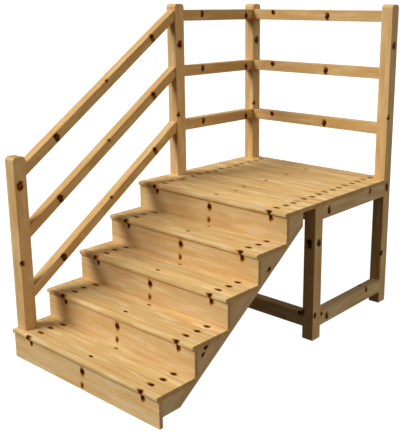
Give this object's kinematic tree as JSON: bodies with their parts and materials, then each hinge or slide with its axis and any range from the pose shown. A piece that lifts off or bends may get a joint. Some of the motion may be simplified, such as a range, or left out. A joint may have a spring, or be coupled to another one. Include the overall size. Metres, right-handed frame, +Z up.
{
  "type": "mounting block",
  "caption": "Timber mounting block: a flight of closed steps up to a railed platform on square legs, with a barred handrail on the left and the back.",
  "frame": {"origin": "middle of the footprint, on the ground", "axes": "+X to the climber's right, +Y the way the climber goes up, +Z up"},
  "size_m": [1.146, 2.045, 1.892],
  "materials": {
    "post_pine": "planed pine, clear oiled",
    "rail_pine": "planed pine, clear oiled",
    "tread_pine": "planed edge-glued pine, clear oiled",
    "riser_pine": "planed edge-glued pine, clear oiled",
    "frame_pine": "planed pine, clear oiled",
    "zinc_steel": "bright zinc plated"
  },
  "bodies": {
    "root": {"front_left_post": "post_pine", "back_left_post": "post_pine", "back_right_post": "post_pine", "front_right_leg": "post_pine", "newel_post": "post_pine", "stair_rail_top": "rail_pine", "stair_rail_middle": "rail_pine", "stair_rail_bottom": "rail_pine", "left_rail_top": "rail_pine", "left_rail_middle": "rail_pine", "left_rail_bottom": "rail_pine", "back_rail_top": "rail_pine", "back_rail_middle": "rail_pine", "back_rail_bottom": "rail_pine", "tread_1": "tread_pine", "tread_2": "tread_pine", "tread_3": "tread_pine", "tread_4": "tread_pine", "deck_board_1": "tread_pine", "deck_board_2": "tread_pine", "deck_board_3": "tread_pine", "deck_board_4": "tread_pine", "deck_board_5": "tread_pine", "riser_1": "riser_pine", "riser_2": "riser_pine", "riser_3": "riser_pine", "riser_4": "riser_pine", "riser_5": "riser_pine", "left_cheek": "frame_pine", "right_cheek": "frame_pine", "centre_carriage": "frame_pine", "front_apron": "frame_pine", "back_apron": "frame_pine", "left_apron": "frame_pine", "right_apron": "frame_pine", "front_stretcher": "frame_pine", "left_stretcher": "frame_pine", "right_stretcher": "frame_pine", "deck_joist": "frame_pine", "left_tie": "frame_pine", "right_tie": "frame_pine", "left_packer": "frame_pine", "right_packer": "frame_pine", "glue_blocks": "frame_pine", "tread_angles": "zinc_steel", "tread_angle_screws": "zinc_steel", "deck_angles": "zinc_steel", "deck_angle_screws": "zinc_steel", "tie_angles": "zinc_steel", "tie_angle_screws": "zinc_steel", "newel_bolts": "zinc_steel", "tie_screws": "zinc_steel"}
  },
  "joints": []
}
